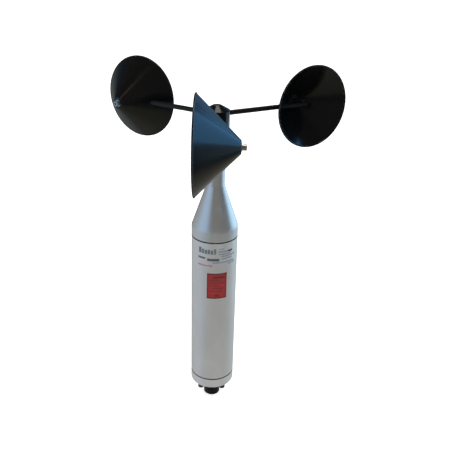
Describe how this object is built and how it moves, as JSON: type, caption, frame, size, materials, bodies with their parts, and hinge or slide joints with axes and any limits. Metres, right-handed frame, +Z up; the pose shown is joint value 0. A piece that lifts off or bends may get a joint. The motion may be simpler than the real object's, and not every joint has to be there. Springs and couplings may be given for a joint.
{
  "type": "cup anemometer",
  "caption": "Cup anemometer: conical black cups on rods turn a hub on a slim neck over a satin tube with a round connector under its base.",
  "frame": {"origin": "centre of the base cap's underside, on the rotor's axis", "axes": "+Z up along the rotor's axis, -Y towards the front with the label and one arm, +X to the right"},
  "size_m": [0.259, 0.2376, 0.388],
  "materials": {
    "anodised_body": "satin anodised",
    "anodised_head": "satin anodised, turned",
    "base_metal": "satin anodised",
    "cup_black": "semi-gloss black",
    "arm_black": "semi-gloss black",
    "hub_black": "gloss black",
    "stainless": "bright",
    "black_steel": "black oxide",
    "bearing_steel": "polished",
    "cage_polymer": "moulded",
    "seal_rubber": "matt",
    "connector_black": "black, fine sheen",
    "connector_nut_metal": "machined",
    "insert_polymer": "moulded black",
    "boot_polymer": "matt",
    "contact_brass": "gold-plated look",
    "board_green": "solder mask",
    "capacitor_metal": "satin",
    "lead_jacket": "soft jacket",
    "disc_metal": "etched",
    "collar_metal": "turned",
    "label_red": "printed film"
  },
  "bodies": {
    "housing": {"base_cap": "base_metal", "base_lock_washers": "stainless", "base_o_ring": "seal_rubber", "base_screws": "black_steel", "base_washers": "stainless", "board_capacitors": "capacitor_metal", "board_chips": "insert_polymer", "board_screws": "stainless", "board_socket": "insert_polymer", "body_tube": "anodised_body", "circuit_board": "board_green", "connector_boot": "boot_polymer", "connector_contacts": "contact_brass", "connector_gasket": "seal_rubber", "connector_insert": "insert_polymer", "connector_nut": "connector_nut_metal", "connector_shell": "connector_black", "head": "anodised_head", "head_o_ring": "seal_rubber", "lead_plug": "insert_polymer", "lower_bearing_circlip": "stainless", "lower_bearing_outer_ring": "bearing_steel", "optical_fork": "insert_polymer", "preload_washer": "stainless", "red_label": "label_red", "signal_lead": "lead_jacket", "upper_bearing_circlip": "stainless", "upper_bearing_outer_ring": "bearing_steel"},
    "rotor": {"rotor_hub": "hub_black", "rotor_arm_1": "arm_black", "rotor_arm_2": "arm_black", "rotor_arm_3": "arm_black", "cup_1": "cup_black", "cup_2": "cup_black", "cup_3": "cup_black", "cup_screws": "stainless", "cup_washers": "stainless", "cup_lock_washers": "stainless", "cup_spacers": "arm_black", "arm_set_screws": "black_steel", "hub_screw": "stainless", "rotor_shaft": "stainless", "upper_bearing_inner_ring": "bearing_steel", "lower_bearing_inner_ring": "bearing_steel", "shaft_circlip": "stainless", "encoder_disc": "disc_metal", "encoder_collar": "collar_metal", "collar_screw": "stainless"},
    "upper_ball_train": {"upper_bearing_balls": "bearing_steel", "upper_bearing_cage": "cage_polymer"},
    "lower_ball_train": {"lower_bearing_balls": "bearing_steel", "lower_bearing_cage": "cage_polymer"}
  },
  "joints": [
    {"name": "rotor_spin", "type": "hinge", "parent": "housing", "child": "rotor", "pos_m": [0, 0, 0.3206], "axis": [0, 0, 1], "continuous": true},
    {"name": "upper_balls_roll", "type": "hinge", "parent": "housing", "child": "upper_ball_train", "pos_m": [0, 0, 0.2925], "axis": [0, 0, 1], "continuous": true},
    {"name": "lower_balls_roll", "type": "hinge", "parent": "housing", "child": "lower_ball_train", "pos_m": [0, 0, 0.2525], "axis": [0, 0, 1], "continuous": true}
  ],
  "couplings": [
    {"joint": "upper_balls_roll", "follows": "rotor_spin", "ratio": 0.38643},
    {"joint": "lower_balls_roll", "follows": "rotor_spin", "ratio": 0.38643}
  ]
}
